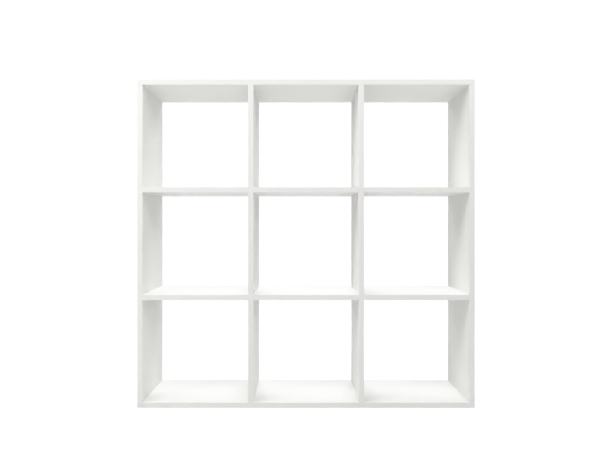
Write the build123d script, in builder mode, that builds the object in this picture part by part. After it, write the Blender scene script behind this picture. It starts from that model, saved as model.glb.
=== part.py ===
"""Open-backed cube storage unit: three columns of three open cubes, in white flat-pack boards.

Frame: +X to the right, +Z up, the front faces -Y.
Origin: on the floor, in the middle of the footprint.
All sizes are in millimetres.
"""

import os

from build123d import *

# ---------------------------------------------------------------- boards
cube_width = 312.0  # clear width of each cube
cube_height = 303.0  # clear height of each cube
unit_depth = 300.0  # front face to back face, edge bands included
board_thickness = 16.0  # melamine-faced particle board, the same for every board

band_thickness = 1.0  # plastic edge band glued along each exposed edge
band_rounding = 0.6  # radius on the outer edges of a band

# ---------------------------------------------------------------- where the fixings sit
cam_setback = 45.0  # front or back face to the nearest cam lock
dowel_pitch = 32.0  # cam lock to the dowel beside it
cam_distance = 34.0  # end of a board to the centre of its cam lock
drilled_skin = 5.0  # board left behind a blind hole drilled in its face

# ---------------------------------------------------------------- cam lock
cam_radius = 7.4
cam_side_clearance = 0.1  # round the cam in its bore
cam_floor_clearance = 0.5  # under the cam in its bore
jaw_clearance = 0.3  # between the cam's jaws and the bolt
drive_slot_length = 9.0
drive_slot_width = 1.8
drive_slot_depth = 2.6

# ---------------------------------------------------------------- cam bolt
head_radius = 3.5
head_length = 3.0
head_floor = 1.0  # from the bolt's head to the floor of the cam bore
neck_radius = 2.4
shaft_radius = 3.0
collar_radius = 3.7
collar_length = 3.0
thread_radius = 3.0
thread_depth = 0.7
thread_pitch = 2.2
bolt_clearance = 0.3  # round the collar in a board's end
pilot_clearance = 0.05  # round the thread in a board's face

# ---------------------------------------------------------------- cover cap
cap_lap = 1.0  # how far the cap reaches past the rim of the cam bore
cap_thickness = 0.5
cap_rounding = 0.35
cap_stem_clearance = 0.3  # round the stem in the cam's drive slot

# ---------------------------------------------------------------- dowel
dowel_radius = 3.95
dowel_length = 30.0
dowel_clearance = 0.05  # for glue, round the dowel
dowel_end_clearance = 0.75  # for glue, at each end of the dowel
dowel_chamfer = 0.9
flute_radius = 0.35
flute_count = 10

# ---------------------------------------------------------------- worked out from the above
columns = ("left", "middle", "right")
shelf_rows = ("lower", "upper")

cube_pitch_x = cube_width + board_thickness
cube_pitch_z = cube_height + board_thickness
unit_width = len(columns) * cube_pitch_x + board_thickness
unit_height = (len(shelf_rows) + 1) * cube_pitch_z + board_thickness
core_depth = unit_depth - 2 * band_thickness
top_underside = unit_height - board_thickness

cam_offset = unit_depth / 2 - cam_setback  # either side of the board's middle
dowel_offset = cam_offset - dowel_pitch

blind_depth = board_thickness - drilled_skin
bolt_hole_radius = collar_radius + bolt_clearance
pilot_radius = thread_radius + pilot_clearance
cam_bore_radius = cam_radius + cam_side_clearance
cam_bore_depth = board_thickness / 2 + head_radius + head_floor
cam_height = cam_bore_depth - cam_floor_clearance
cap_radius = cam_bore_radius + cap_lap
jaw_top = board_thickness / 2 - head_radius - jaw_clearance  # depth of the jaws below the cam's face

dowel_hole_radius = dowel_radius + dowel_clearance
dowel_in_face = blind_depth - dowel_end_clearance
dowel_in_end = dowel_length - dowel_in_face
dowel_end_depth = dowel_in_end + dowel_end_clearance

UP = (0, 0, 1)
DOWN = (0, 0, -1)
RIGHT = (1, 0, 0)
LEFT = (-1, 0, 0)

# Each upright: its name, the middle of its thickness, and the way its cam locks face.
uprights = [
    (name, -unit_width / 2 + board_thickness / 2 + number * cube_pitch_x, cam_side)
    for number, (name, cam_side) in enumerate(
        (
            ("left_side_board", RIGHT),
            ("left_divider", LEFT),
            ("right_divider", RIGHT),
            ("right_side_board", LEFT),
        )
    )
]

# ---------------------------------------------------------------- joints between boards
# A joint's plane lies where one board's end meets another board's face. Its Z axis points into the
# board that ends there, its X axis towards the face with the cam locks, and its Y axis along the depth.
bottom_joints = [
    Plane(origin=(x, 0, board_thickness), x_dir=cam_side, z_dir=UP) for _, x, cam_side in uprights
]
top_joints = [
    Plane(origin=(x, 0, top_underside), x_dir=cam_side, z_dir=DOWN) for _, x, cam_side in uprights
]


def shelf_level(row):
    """Height of the middle of a row of shelves."""
    return (row + 1) * cube_pitch_z + board_thickness / 2


def shelf_joints(row):
    """Joints of a row of shelves, as one (left end, right end) pair for each column."""
    pairs = []
    for column in range(len(columns)):
        left_face = uprights[column][1] + board_thickness / 2
        right_face = uprights[column + 1][1] - board_thickness / 2
        z = shelf_level(row)
        left_end = Plane(origin=(left_face, 0, z), x_dir=DOWN, z_dir=RIGHT)
        right_end = Plane(origin=(right_face, 0, z), x_dir=DOWN, z_dir=LEFT)
        pairs.append((left_end, right_end))
    return pairs


joints_by_row = [shelf_joints(row) for row in range(len(shelf_rows))]


def joints_on_upright(number):
    """Shelf joints on one upright, taken from the shelves to its right where it has any."""
    if number < len(columns):
        return [row_joints[number][0] for row_joints in joints_by_row]
    return [row_joints[number - 1][1] for row_joints in joints_by_row]


def spots(joint, offset):
    """The front and back spots of a joint, each offset along the depth from its middle."""
    return [joint * Pos(0, side * offset, 0) for side in (-1, 1)]


def cam_spots(joint):
    """Where a joint's cam locks go: on the board's face, Z axis outwards and X axis towards the bolt."""
    found = []
    for side in (-1, 1):
        on_face = joint * Pos(board_thickness / 2, side * cam_offset, cam_distance)
        cam_plane = Plane(origin=on_face.position, x_dir=-joint.z_dir, z_dir=joint.x_dir)
        found.append(cam_plane.location)
    return found


# ---------------------------------------------------------------- drilling
def drill_end(joint):
    """Holes in the board that ends at a joint: bolt bores, cam bores and dowel holes."""
    with Locations(*spots(joint, cam_offset)):
        Hole(bolt_hole_radius, cam_distance)
    with Locations(*cam_spots(joint)):
        Hole(cam_bore_radius, cam_bore_depth)
    with Locations(*spots(joint, dowel_offset)):
        Hole(dowel_hole_radius, dowel_end_depth)


def drill_face(joint):
    """Blind holes in the face that a board's end meets: pilot holes and dowel holes."""
    with Locations(*spots(joint, cam_offset)):
        Hole(pilot_radius, blind_depth)
    with Locations(*spots(joint, dowel_offset)):
        Hole(dowel_hole_radius, blind_depth)


def drill_through(joint):
    """Through holes in a divider, shared by the shelves on its two sides."""
    with Locations(*spots(joint, cam_offset)):
        Hole(bolt_hole_radius, 2 * board_thickness)
    with Locations(*spots(joint, dowel_offset)):
        Hole(dowel_hole_radius, 2 * board_thickness)


# ---------------------------------------------------------------- boards and their edge bands
def make_board(x_low, x_high, z_low, z_high, ends=(), faces=(), throughs=()):
    """A board's particle-board core with its melamine faces, drilled for the joints given."""
    with BuildPart() as board:
        with BuildSketch(Plane(origin=((x_low + x_high) / 2, 0, z_low))):
            Rectangle(x_high - x_low, core_depth)
        extrude(amount=z_high - z_low)
        for joint in ends:
            drill_end(joint)
        for joint in faces:
            drill_face(joint)
        for joint in throughs:
            drill_through(joint)
    return board.part


def make_face_bands(x_low, x_high, z_low, z_high, rounded_axes):
    """A board's front and back edge bands, rounded along the edges parallel to the axes given."""
    with BuildPart() as bands:
        with BuildSketch(Plane.XZ.offset(unit_depth / 2)):
            with Locations(((x_low + x_high) / 2, (z_low + z_high) / 2)):
                Rectangle(x_high - x_low, z_high - z_low)
        extrude(amount=-band_thickness)
        for axis in rounded_axes:
            fillet(bands.edges().filter_by(axis).group_by(Axis.Y)[0], band_rounding)
        mirror(about=Plane.XZ)
    return bands.part


def make_end_bands(z_low):
    """The edge bands on the left and right ends of the top or bottom board."""
    with BuildPart() as bands:
        with BuildSketch(Plane.YZ.offset(unit_width / 2)):
            with Locations((0, z_low + board_thickness / 2)):
                Rectangle(core_depth, board_thickness)
        extrude(amount=-band_thickness)
        fillet(bands.edges().filter_by(Axis.Y).group_by(Axis.X)[-1], band_rounding)
        mirror(about=Plane.YZ)
    return bands.part


pieces = {}

# The top and bottom boards run the full width and cover the ends of the uprights.
for name, z_low, joints in (
    ("bottom_board", 0, bottom_joints),
    ("top_board", top_underside, top_joints),
):
    z_high = z_low + board_thickness
    inner_end = unit_width / 2 - band_thickness
    pieces[name] = make_board(-inner_end, inner_end, z_low, z_high, faces=joints)
    pieces[f"{name}_edge_bands"] = make_face_bands(
        -unit_width / 2, unit_width / 2, z_low, z_high, (Axis.X, Axis.Z)
    )
    pieces[f"{name}_end_bands"] = make_end_bands(z_low)

# The side boards and the dividers stand between them at full height.
for number, (name, x, _) in enumerate(uprights):
    x_low = x - board_thickness / 2
    x_high = x + board_thickness / 2
    is_divider = 0 < number < len(columns)
    pieces[name] = make_board(
        x_low,
        x_high,
        board_thickness,
        top_underside,
        ends=(bottom_joints[number], top_joints[number]),
        faces=() if is_divider else joints_on_upright(number),
        throughs=joints_on_upright(number) if is_divider else (),
    )
    pieces[f"{name}_edge_bands"] = make_face_bands(
        x_low, x_high, board_thickness, top_underside, (Axis.Z,)
    )

# The short shelves fit between the uprights, one for each column in each row.
for row, row_name in enumerate(shelf_rows):
    z_low = shelf_level(row) - board_thickness / 2
    z_high = shelf_level(row) + board_thickness / 2
    for (left_end, right_end), column_name in zip(joints_by_row[row], columns):
        name = f"{row_name}_{column_name}_shelf"
        x_low = left_end.origin.X
        x_high = right_end.origin.X
        pieces[name] = make_board(x_low, x_high, z_low, z_high, ends=(left_end, right_end))
        pieces[f"{name}_edge_bands"] = make_face_bands(x_low, x_high, z_low, z_high, (Axis.X,))

# ---------------------------------------------------------------- cam lock
# Its own frame: origin in the middle of its outer face, Z outwards, X towards the bolt.
with BuildPart() as cam_lock:
    with BuildSketch(Plane.XY.offset(-cam_height)):
        Circle(cam_radius)
    extrude(amount=cam_height)
    # The hollow that takes the bolt's head is open below, and the narrower slot lets the neck out.
    with BuildSketch(Plane.XY.offset(-cam_height)):
        with Locations((jaw_clearance, 0)):
            Rectangle(
                head_length + 2 * jaw_clearance,
                2 * (head_radius + jaw_clearance),
                align=(Align.MAX, Align.CENTER),
            )
        Rectangle(
            2 * cam_radius, 2 * (neck_radius + jaw_clearance), align=(Align.MIN, Align.CENTER)
        )
    extrude(amount=cam_height - jaw_top, mode=Mode.SUBTRACT)
    with BuildSketch(Plane.XY):
        Rectangle(drive_slot_length, drive_slot_width)
        Rectangle(drive_slot_width, drive_slot_length)
    extrude(amount=-drive_slot_depth, mode=Mode.SUBTRACT)

# ---------------------------------------------------------------- cover cap, in the cam lock's frame
with BuildPart() as cover_cap:
    with BuildSketch(Plane.XY):
        Circle(cap_radius)
    extrude(amount=cap_thickness)
    fillet(cover_cap.edges().group_by(Axis.Z)[-1], cap_rounding)
    with BuildSketch(Plane.XY):
        stem_length = drive_slot_length - 2 * cap_stem_clearance
        stem_width = drive_slot_width - 2 * cap_stem_clearance
        Rectangle(stem_length, stem_width)
        Rectangle(stem_width, stem_length)
    extrude(amount=-(drive_slot_depth - cap_stem_clearance))


# ---------------------------------------------------------------- cam bolts
def cam_end_points(board_face):
    """Outline (radius, height) of a bolt from the face of the drilled board to the tip of its head."""
    neck_start = board_face + cam_distance - cam_radius - jaw_clearance
    head_start = board_face + cam_distance
    return [
        (collar_radius, board_face),
        (collar_radius, board_face + collar_length),
        (shaft_radius, board_face + collar_length),
        (shaft_radius, neck_start),
        (neck_radius, neck_start),
        (neck_radius, head_start),
        (head_radius, head_start),
        (head_radius, head_start + head_length),
        (0, head_start + head_length),
    ]


def thread_points():
    """Outline of the ridged thread, from its tip up to the board's face."""
    length = blind_depth - pilot_clearance
    ridges = int(length / thread_pitch)
    root_radius = thread_radius - thread_depth
    points = [(0, -length), (root_radius, -length)]
    for ridge in range(ridges):
        base = -length + ridge * thread_pitch
        points.append((thread_radius, base + thread_pitch / 2))
        points.append((root_radius, base + thread_pitch))
    points.append((root_radius, 0))
    return points


def make_turned_piece(points):
    """A solid turned about the Z axis from an outline of (radius, height) points."""
    with BuildPart() as turned:
        with BuildSketch(Plane.XZ):
            with BuildLine():
                Polyline(*points, close=True)
            make_face()
        revolve(axis=Axis.Z)
    return turned.part


cam_bolt = make_turned_piece(thread_points() + cam_end_points(0))

with BuildPart() as double_bolt:
    add(make_turned_piece([(0, 0), (shaft_radius, 0)] + cam_end_points(board_thickness / 2)[2:]))
    mirror(about=Plane.XY)


# ---------------------------------------------------------------- dowels
def make_dowel(low, high):
    """A fluted wooden dowel along Z, chamfered at both ends."""
    with BuildPart() as dowel:
        with BuildSketch(Plane.XY.offset(low)):
            Circle(dowel_radius)
            with PolarLocations(dowel_radius, flute_count):
                Circle(flute_radius, mode=Mode.SUBTRACT)
        extrude(amount=high - low)
        with BuildSketch(Plane.XZ):
            with BuildLine():
                Polyline(
                    (0, low),
                    (dowel_radius - dowel_chamfer, low),
                    (dowel_radius, low + dowel_chamfer),
                    (dowel_radius, high - dowel_chamfer),
                    (dowel_radius - dowel_chamfer, high),
                    (0, high),
                    close=True,
                )
            make_face()
        revolve(axis=Axis.Z, mode=Mode.INTERSECT)
    return dowel.part


dowel = make_dowel(-dowel_in_face, dowel_in_end)
through_reach = board_thickness / 2 + dowel_in_end
through_dowel = make_dowel(-through_reach, through_reach)


# ---------------------------------------------------------------- fixings, grouped by where they go
def place_copies(piece, places):
    """A group of separate copies of one piece."""
    with BuildPart() as group:
        with Locations(*places):
            add(piece)
    return group.part


def every_spot(joints, offset):
    """The front and back spots of several joints."""
    return [spot for joint in joints for spot in spots(joint, offset)]


def add_cam_locks(name, joints):
    """The cam locks of several joints, and the caps that cover them."""
    places = [spot for joint in joints for spot in cam_spots(joint)]
    pieces[f"{name}_cam_locks"] = place_copies(cam_lock.part, places)
    pieces[f"{name}_cam_covers"] = place_copies(cover_cap.part, places)


for name, joints in (("bottom_board", bottom_joints), ("top_board", top_joints)):
    add_cam_locks(name, joints)
    pieces[f"{name}_cam_bolts"] = place_copies(cam_bolt, every_spot(joints, cam_offset))
    pieces[f"{name}_dowels"] = place_copies(dowel, every_spot(joints, dowel_offset))

for row, row_name in enumerate(shelf_rows):
    name = f"{row_name}_shelf"
    row_joints = joints_by_row[row]
    add_cam_locks(name, [joint for pair in row_joints for joint in pair])

    at_sides = [row_joints[0][0], row_joints[-1][1]]
    pieces[f"{name}_cam_bolts"] = place_copies(cam_bolt, every_spot(at_sides, cam_offset))
    pieces[f"{name}_dowels"] = place_copies(dowel, every_spot(at_sides, dowel_offset))

    in_dividers = [
        Plane(origin=(x, 0, shelf_level(row)), x_dir=DOWN, z_dir=RIGHT) for _, x, _ in uprights[1:-1]
    ]
    pieces[f"{name}_double_bolts"] = place_copies(
        double_bolt.part, every_spot(in_dividers, cam_offset)
    )
    pieces[f"{name}_through_dowels"] = place_copies(
        through_dowel, every_spot(in_dividers, dowel_offset)
    )

# ---------------------------------------------------------------- output
os.makedirs("parts", exist_ok=True)
for name, piece in pieces.items():
    piece.label = name
    export_step(piece, f"parts/{name}.step")
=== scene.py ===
"""Looks for the cube storage unit: white melamine boards, plastic edge bands, fixings, floor and lights.

Everything is in metres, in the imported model's own frame: +X right, +Z up, front towards -Y.
"""

import math

import bpy
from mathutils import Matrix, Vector


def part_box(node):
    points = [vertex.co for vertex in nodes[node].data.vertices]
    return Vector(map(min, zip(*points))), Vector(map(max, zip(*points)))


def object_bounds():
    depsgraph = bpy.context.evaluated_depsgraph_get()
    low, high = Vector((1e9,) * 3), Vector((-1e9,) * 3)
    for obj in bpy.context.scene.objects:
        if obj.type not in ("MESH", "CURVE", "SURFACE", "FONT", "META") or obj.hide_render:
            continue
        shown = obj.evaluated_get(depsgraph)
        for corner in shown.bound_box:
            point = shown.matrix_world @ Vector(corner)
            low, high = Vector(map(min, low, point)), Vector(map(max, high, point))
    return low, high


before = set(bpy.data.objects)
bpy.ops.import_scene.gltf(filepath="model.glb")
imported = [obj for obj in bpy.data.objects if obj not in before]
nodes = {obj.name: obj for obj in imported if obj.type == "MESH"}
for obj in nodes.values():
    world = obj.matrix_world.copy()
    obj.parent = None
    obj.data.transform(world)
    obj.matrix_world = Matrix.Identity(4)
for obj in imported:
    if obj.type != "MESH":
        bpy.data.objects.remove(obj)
cad_low, cad_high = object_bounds()

BOARD_NODES = [name for name in nodes if name.endswith(("_board", "_divider", "_shelf"))]
UPRIGHT_NODES = [name for name in BOARD_NODES if name.endswith(("_side_board", "_divider"))]

# ---------------------------------------------------------------- sizes taken from the frame
unit_width = cad_high.x - cad_low.x
unit_height = cad_high.z - cad_low.z
centre = (cad_low + cad_high) / 2
bottom_board_low, bottom_board_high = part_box("bottom_board")
board_thickness = bottom_board_high.z - bottom_board_low.z

MILLIMETRE = 0.001
X_AXIS, Y_AXIS, Z_AXIS = 0, 1, 2

# ---------------------------------------------------------------- colours, as linear red, green and blue
MELAMINE_WHITE = (0.868, 0.866, 0.85)
MELAMINE_SHADE = (0.85, 0.846, 0.825)
MELAMINE_RUB = (0.78, 0.77, 0.74)
CHIP_PALE = (0.62, 0.43, 0.25)
CHIP_DARK = (0.36, 0.22, 0.115)
CHIP_DUST = (0.5, 0.34, 0.19)
BAND_WHITE = (0.862, 0.862, 0.842)
BAND_SHADE = (0.842, 0.84, 0.816)
CAP_WHITE = (0.868, 0.866, 0.85)
CAP_SHADE = (0.85, 0.848, 0.828)
ZINC_PALE = (0.62, 0.62, 0.61)
ZINC_DARK = (0.42, 0.42, 0.42)
PLATE_BLUE = (0.74, 0.76, 0.79)
PLATE_GREY = (0.66, 0.66, 0.62)
BEECH_PALE = (0.72, 0.5, 0.31)
BEECH_DARK = (0.5, 0.31, 0.165)
BEECH_FLECK = (0.3, 0.16, 0.08)
FLOOR_PALE = (0.81, 0.81, 0.81)
FLOOR_SHADE = (0.79, 0.79, 0.79)

# ---------------------------------------------------------------- surface details
PAPER_THICKNESS = 0.15 * MILLIMETRE
BOARD_RELIEF = 0.15 * MILLIMETRE  # the paper's pearl and the core's pits
BAND_RELIEF = 0.02 * MILLIMETRE
CAP_RELIEF = 0.03 * MILLIMETRE
CASTING_RELIEF = 0.05 * MILLIMETRE
PLATE_RELIEF = 0.02 * MILLIMETRE
BEECH_RELIEF = 0.08 * MILLIMETRE
NOISE_RANGE = (0.3, 0.7)  # where most values of a noise lie
ZERO_TO_ONE = (0.0, 1.0)

# ---------------------------------------------------------------- floor and backdrop
FLOOR_FADE = (1.5, 3.2)  # metres from the middle of the unit's base: still whole, and all gone
FLOOR_LIFT = 0.5  # light added to the floor that the camera sees
ROOM_LIGHT = 0.06  # even light from all round
WHITE_LEVEL = 1.3  # light that the picture shows as pure white
SHOULDER_START = 0.8  # light above which the tones bend over
SHOULDER_STEPS = 8


# ---------------------------------------------------------------- node helpers
def new_material(name, **shader_values):
    """A material with a Principled shader; the values given are set on the shader's own sockets."""
    material = bpy.data.materials.new(name)
    material.use_nodes = True
    tree = material.node_tree
    shader = next(node for node in tree.nodes if node.type == "BSDF_PRINCIPLED")
    for socket, value in shader_values.items():
        shader.inputs[socket.replace("_", " ")].default_value = value
    return material, tree, shader


def add_node(tree, kind, settings=None, **sockets):
    """A node with its settings, and its sockets set from values or linked from other sockets.

    A socket goes by its name, or by its place: _0 is the first one.
    """
    node = tree.nodes.new(kind)
    for setting, value in (settings or {}).items():
        setattr(node, setting, value)
    for name, value in sockets.items():
        key = int(name[1:]) if name[0] == "_" else name.replace("_", " ")
        if isinstance(value, bpy.types.NodeSocket):
            tree.links.new(value, node.inputs[key])
        else:
            node.inputs[key].default_value = value
    return node


def object_point(tree):
    """The point being shaded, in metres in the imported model's frame."""
    return add_node(tree, "ShaderNodeTexCoord").outputs["Object"]


def stretched(tree, point, scale):
    """The point scaled along each axis, so that a pattern is drawn out along the smaller ones."""
    return add_node(tree, "ShaderNodeMapping", Vector=point, Scale=scale).outputs["Vector"]


def noise(tree, point, scale=1.0, detail=2.0, roughness=0.5):
    """A noise between 0 and 1, with its scale in features per metre."""
    node = add_node(
        tree, "ShaderNodeTexNoise", Vector=point, Scale=scale, Detail=detail, Roughness=roughness
    )
    return node.outputs["Fac"]


def remap(tree, value, start, end):
    """The value moved from the start range to the end range and held there."""
    ranges = {"From_Min": start[0], "From_Max": start[1], "To_Min": end[0], "To_Max": end[1]}
    return add_node(tree, "ShaderNodeMapRange", None, Value=value, **ranges).outputs["Result"]


def maths(tree, operation, first, second=0.0):
    """One step of arithmetic on sockets or numbers."""
    return add_node(tree, "ShaderNodeMath", {"operation": operation}, _0=first, _1=second).outputs[0]


def blend_colours(tree, factor, first, second):
    """A colour between two, each a socket or a list of red, green and blue."""
    node = add_node(tree, "ShaderNodeMix", {"data_type": "RGBA"}, _0=factor)
    # Each kind of value has sockets of its own on this node: colours go in at 6 and 7, and out at 2.
    for place, colour in ((6, first), (7, second)):
        if isinstance(colour, bpy.types.NodeSocket):
            tree.links.new(colour, node.inputs[place])
        else:
            node.inputs[place].default_value = (*colour, 1.0)
    return node.outputs[2]


def add_bump(tree, shader, height, depth):
    """Raises the surface by the height, from 0 to 1, times a depth in metres."""
    node = add_node(tree, "ShaderNodeBump", None, Height=height, Distance=depth)
    tree.links.new(node.outputs["Normal"], shader.inputs["Normal"])


# ---------------------------------------------------------------- materials
def melamine_board(name, axis, middle):
    """Melamine paper on both faces of a board, and pressed chips wherever its core is cut or drilled.

    axis runs through the board's thickness, and middle is where its mid-plane lies along that axis.
    """
    material, tree, shader = new_material(f"{name}_melamine", IOR=1.5)
    point = object_point(tree)

    # The white paper: slow drifts of tone, a fine fleck, and faint rubs along the depth.
    drift = noise(tree, point, scale=2.2, detail=3.0)
    fleck = noise(tree, point, scale=420.0)
    rub_noise = noise(tree, stretched(tree, point, (160.0, 5.0, 160.0)), detail=4.0, roughness=0.6)
    rub = remap(tree, rub_noise, (0.62, 0.78), ZERO_TO_ONE)
    tone = maths(tree, "MULTIPLY", drift, 0.7)
    tone = maths(tree, "ADD", tone, maths(tree, "MULTIPLY", fleck, 0.3))
    paper = blend_colours(tree, tone, MELAMINE_WHITE, MELAMINE_SHADE)
    paper = blend_colours(tree, maths(tree, "MULTIPLY", rub, 0.12), paper, MELAMINE_RUB)

    # The core: chips of several tans under a finer dust.
    across = add_node(tree, "ShaderNodeSeparateXYZ", None, _0=point).outputs[axis]
    off_middle = maths(tree, "ABSOLUTE", maths(tree, "SUBTRACT", across, middle))
    chip_point = stretched(tree, point, (300.0, 180.0, 300.0))
    chips = add_node(tree, "ShaderNodeTexVoronoi", None, Vector=chip_point, Scale=1.0)
    dust = noise(tree, point, scale=900.0, detail=3.0)
    chip_tone = add_node(tree, "ShaderNodeSeparateColor", None, _0=chips.outputs["Color"]).outputs[0]
    core = blend_colours(tree, chip_tone, CHIP_PALE, CHIP_DARK)
    core = blend_colours(tree, dust, core, CHIP_DUST)

    # The paper is a thin skin, so it ends just inside the faces.
    is_paper = maths(tree, "GREATER_THAN", off_middle, board_thickness / 2 - PAPER_THICKNESS)
    tree.links.new(blend_colours(tree, is_paper, core, paper), shader.inputs["Base Color"])

    paper_roughness = remap(tree, drift, NOISE_RANGE, (0.36, 0.44))
    paper_roughness = maths(tree, "ADD", paper_roughness, maths(tree, "MULTIPLY", rub, 0.08))
    is_core = maths(tree, "SUBTRACT", 1.0, is_paper)
    roughness = maths(tree, "ADD", paper_roughness, maths(tree, "MULTIPLY", is_core, 0.45))
    tree.links.new(roughness, shader.inputs["Roughness"])

    pearl = noise(tree, point, scale=1100.0)
    pits = maths(tree, "MULTIPLY", chips.outputs["Distance"], is_core)
    height = maths(tree, "ADD", maths(tree, "MULTIPLY", pearl, 0.12), pits)
    add_bump(tree, shader, height, BOARD_RELIEF)
    return material


def edge_band(name, length_axis):
    """Extruded plastic band: fine lines along its length under a soft gloss."""
    material, tree, shader = new_material(name, IOR=1.5)
    point = object_point(tree)
    line_scale = [900.0, 900.0, 900.0]
    line_scale[length_axis] = 6.0
    lines = noise(tree, stretched(tree, point, line_scale), detail=3.0)
    drift = noise(tree, point, scale=5.0)
    tone = maths(tree, "ADD", maths(tree, "MULTIPLY", lines, 0.4), maths(tree, "MULTIPLY", drift, 0.6))
    tree.links.new(blend_colours(tree, tone, BAND_WHITE, BAND_SHADE), shader.inputs["Base Color"])
    tree.links.new(remap(tree, lines, NOISE_RANGE, (0.3, 0.4)), shader.inputs["Roughness"])
    add_bump(tree, shader, lines, BAND_RELIEF)
    return material


def moulded_plastic(name):
    """The cover caps: smooth white moulded plastic with a faint orange peel."""
    material, tree, shader = new_material(name, IOR=1.49)
    point = object_point(tree)
    swirl = noise(tree, point, scale=60.0)
    tree.links.new(blend_colours(tree, swirl, CAP_WHITE, CAP_SHADE), shader.inputs["Base Color"])
    tree.links.new(remap(tree, swirl, NOISE_RANGE, (0.3, 0.38)), shader.inputs["Roughness"])
    add_bump(tree, shader, noise(tree, point, scale=900.0), CAP_RELIEF)
    return material


def cast_zinc(name):
    """The cam locks: dull grey casting with a grainy skin."""
    material, tree, shader = new_material(name, Metallic=1.0)
    point = object_point(tree)
    grain = noise(tree, point, scale=1600.0, detail=3.0)
    stain = noise(tree, point, scale=140.0, detail=3.0)
    tree.links.new(blend_colours(tree, stain, ZINC_PALE, ZINC_DARK), shader.inputs["Base Color"])
    tree.links.new(remap(tree, grain, NOISE_RANGE, (0.4, 0.6)), shader.inputs["Roughness"])
    add_bump(tree, shader, grain, CASTING_RELIEF)
    return material


def plated_steel(name):
    """The bolts: bright zinc plate with a bluish cast and a fine grain."""
    material, tree, shader = new_material(name, Metallic=1.0)
    point = object_point(tree)
    grain = noise(tree, point, scale=2200.0)
    cast = noise(tree, point, scale=90.0)
    tree.links.new(blend_colours(tree, cast, PLATE_BLUE, PLATE_GREY), shader.inputs["Base Color"])
    tree.links.new(remap(tree, grain, NOISE_RANGE, (0.2, 0.34)), shader.inputs["Roughness"])
    add_bump(tree, shader, grain, PLATE_RELIEF)
    return material


def beech(name, length_axis):
    """Turned beech: pale reddish wood with short dark flecks along the grain."""
    material, tree, shader = new_material(name, IOR=1.45)
    point = object_point(tree)
    grain_scale = [700.0, 700.0, 700.0]
    grain_scale[length_axis] = 60.0
    fleck_scale = [2.5 * scale for scale in grain_scale]
    grain = noise(tree, stretched(tree, point, grain_scale), detail=4.0, roughness=0.6)
    fleck_noise = noise(tree, stretched(tree, point, fleck_scale), detail=1.0)
    flecks = remap(tree, fleck_noise, (0.62, 0.7), ZERO_TO_ONE)
    wood = blend_colours(tree, grain, BEECH_PALE, BEECH_DARK)
    wood = blend_colours(tree, maths(tree, "MULTIPLY", flecks, 0.5), wood, BEECH_FLECK)
    tree.links.new(wood, shader.inputs["Base Color"])
    tree.links.new(remap(tree, grain, NOISE_RANGE, (0.5, 0.68)), shader.inputs["Roughness"])
    add_bump(tree, shader, grain, BEECH_RELIEF)
    return material


def floor_paper(name):
    """A plain pale studio floor that fades into the white backdrop some way from the unit."""
    material, tree, shader = new_material(name, Specular_IOR_Level=0.1)
    point = object_point(tree)
    clouds = noise(tree, point, scale=0.8, detail=3.0)
    tree.links.new(blend_colours(tree, clouds, FLOOR_PALE, FLOOR_SHADE), shader.inputs["Base Color"])
    tree.links.new(remap(tree, clouds, NOISE_RANGE, (0.75, 0.85)), shader.inputs["Roughness"])

    # The lift brightens the floor that is seen without adding light to the unit.
    is_seen = add_node(tree, "ShaderNodeLightPath").outputs["Is Camera Ray"]
    shader.inputs["Emission Color"].default_value = (1.0, 1.0, 1.0, 1.0)
    tree.links.new(maths(tree, "MULTIPLY", is_seen, FLOOR_LIFT), shader.inputs["Emission Strength"])

    reach = add_node(tree, "ShaderNodeVectorMath", {"operation": "LENGTH"}, _0=point).outputs["Value"]
    fade = remap(tree, reach, FLOOR_FADE, ZERO_TO_ONE)
    clear = add_node(tree, "ShaderNodeBsdfTransparent").outputs[0]
    faded = add_node(tree, "ShaderNodeMixShader", None, _0=fade, _1=shader.outputs[0], _2=clear)
    output = next(node for node in tree.nodes if node.type == "OUTPUT_MATERIAL")
    tree.links.new(faded.outputs[0], output.inputs["Surface"])
    return material


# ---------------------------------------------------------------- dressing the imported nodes
def dress(name, material):
    """Gives a node its material in every slot that it has."""
    for place in nodes[name].material_slots:
        place.material = material


for name in BOARD_NODES:
    low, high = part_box(name)
    thickness_axis = X_AXIS if name in UPRIGHT_NODES else Z_AXIS
    middle = (low[thickness_axis] + high[thickness_axis]) / 2
    dress(name, melamine_board(name, thickness_axis, middle))

bands_along = {
    axis: edge_band(f"edge_band_along_{letter}", axis)
    for axis, letter in ((X_AXIS, "x"), (Y_AXIS, "y"), (Z_AXIS, "z"))
}
dowels_along = {
    axis: beech(f"beech_along_{letter}", axis) for axis, letter in ((X_AXIS, "x"), (Z_AXIS, "z"))
}
cap_plastic = moulded_plastic("cover_cap_plastic")
cam_zinc = cast_zinc("cam_lock_zinc")
bolt_steel = plated_steel("bolt_steel")

for name in nodes:
    if name.endswith("_end_bands"):
        dress(name, bands_along[Y_AXIS])
    elif name.endswith("_edge_bands"):
        board = name.removesuffix("_edge_bands")
        dress(name, bands_along[Z_AXIS if board in UPRIGHT_NODES else X_AXIS])
    elif name.endswith("_cam_covers"):
        dress(name, cap_plastic)
    elif name.endswith("_cam_locks"):
        dress(name, cam_zinc)
    elif name.endswith("_bolts"):
        dress(name, bolt_steel)
    elif name.endswith("_dowels"):
        dress(name, dowels_along[X_AXIS if "shelf" in name else Z_AXIS])


# ---------------------------------------------------------------- floor
def make_floor():
    """A wide flat floor at the unit's base, out to where it has faded away."""
    half = FLOOR_FADE[1]
    mesh = bpy.data.meshes.new("studio_floor")
    corners = [(-half, -half), (half, -half), (half, half), (-half, half)]
    mesh.from_pydata([(x, y, cad_low.z) for x, y in corners], [], [(0, 1, 2, 3)])
    floor = bpy.data.objects.new("studio_floor", mesh)
    bpy.context.scene.collection.objects.link(floor)
    mesh.materials.append(floor_paper("studio_floor_paper"))


make_floor()


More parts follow.
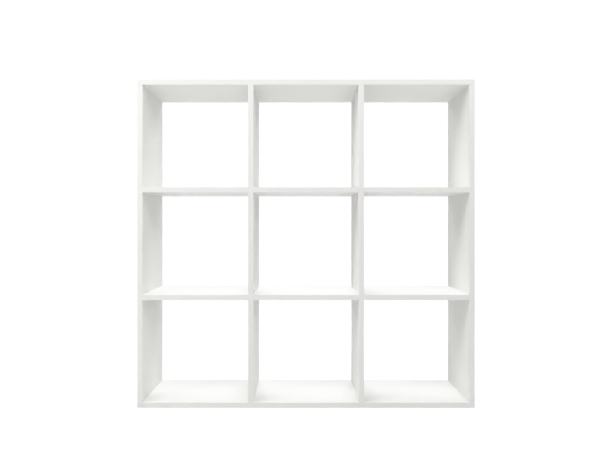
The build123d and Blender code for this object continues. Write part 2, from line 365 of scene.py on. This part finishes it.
# ---------------------------------------------------------------- lights
def set_world():
    """Even white light from all round, while the camera sees a plain white backdrop."""
    world = bpy.data.worlds.new("studio")
    bpy.context.scene.world = world
    world.use_nodes = True
    tree = world.node_tree
    tree.nodes.clear()
    white = (1.0, 1.0, 1.0, 1.0)
    light = add_node(tree, "ShaderNodeBackground", None, Color=white, Strength=ROOM_LIGHT)
    backdrop = add_node(tree, "ShaderNodeBackground", None, Color=white, Strength=WHITE_LEVEL)
    is_seen = add_node(tree, "ShaderNodeLightPath").outputs["Is Camera Ray"]
    shown = add_node(
        tree, "ShaderNodeMixShader", None, _0=is_seen, _1=light.outputs[0], _2=backdrop.outputs[0]
    )
    add_node(tree, "ShaderNodeOutputWorld", None, Surface=shown.outputs[0])


def add_softbox(name, azimuth, elevation, distance, side, watts):
    """A square softbox aimed at the unit's middle; azimuth 0 is in front, positive to the right."""
    turn, lift = math.radians(azimuth), math.radians(elevation)
    offset = Vector((math.sin(turn) * math.cos(lift), -math.cos(turn) * math.cos(lift), math.sin(lift)))
    lamp = bpy.data.lights.new(name, "AREA")
    lamp.shape = "SQUARE"
    lamp.size = side
    lamp.energy = watts
    softbox = bpy.data.objects.new(name, lamp)
    softbox.location = centre + offset * distance
    softbox.rotation_euler = (-offset).to_track_quat("-Z", "Y").to_euler()
    bpy.context.scene.collection.objects.link(softbox)


set_world()
# Each softbox: its name, azimuth and elevation in degrees, distance and side in metres, and watts.
for softbox_settings in (
    ("low_key_softbox", -60.0, 28.0, 2.2, 1.0, 20.4),
    ("high_key_softbox", -35.0, 45.0, 2.2, 1.0, 10.7),
    ("fill_softbox", 25.0, 35.0, 3.0, 1.5, 37.2),
    ("back_high_softbox", 180.0, 45.0, 3.0, 1.5, 82.0),
    ("back_low_softbox", 180.0, 10.0, 3.0, 3.0, 19.1),
    ("right_softbox", 92.0, 20.0, 3.0, 1.5, 30.0),
):
    add_softbox(*softbox_settings)

# ---------------------------------------------------------------- camera
# Level and square-on, a little to the left of the unit's middle and a little above it.
CAMERA_LEFT = 0.0178  # of the unit's width, from its middle
CAMERA_BACK = 2.033  # of the unit's width, from its front
CAMERA_UP = 0.5567  # of the unit's height, from the floor
camera_data = bpy.data.cameras.new("camera")
camera_data.sensor_width = 36.0  # millimetres, as is the lens
camera_data.lens = 41.22
camera = bpy.data.objects.new("camera", camera_data)
camera.location = (
    centre.x - CAMERA_LEFT * unit_width,
    cad_low.y - CAMERA_BACK * unit_width,
    cad_low.z + CAMERA_UP * unit_height,
)
camera.rotation_euler = (math.radians(90.0), 0.0, 0.0)
bpy.context.scene.collection.objects.link(camera)
bpy.context.scene.camera = camera


def soften_highlights(view):
    """Bends the brightest tones over gently, so that lit white faces keep their edges."""
    view.view_transform = "Standard"
    view.use_curve_mapping = True
    mapping = view.curve_mapping
    mapping.white_level = (WHITE_LEVEL,) * 3
    tones = mapping.curves[3]  # the curve for all three colours together
    for part in (0.5, 0.9):  # two points that keep the tones below the shoulder as they are
        tones.points.new(part * SHOULDER_START / WHITE_LEVEL, part * SHOULDER_START)
    steepness = (WHITE_LEVEL - SHOULDER_START) / (1.0 - SHOULDER_START)
    for step in range(SHOULDER_STEPS):
        left = 1.0 - step / SHOULDER_STEPS
        light = WHITE_LEVEL - (WHITE_LEVEL - SHOULDER_START) * left
        tones.points.new(light / WHITE_LEVEL, 1.0 - (1.0 - SHOULDER_START) * left**steepness)
    mapping.update()


soften_highlights(bpy.context.scene.view_settings)
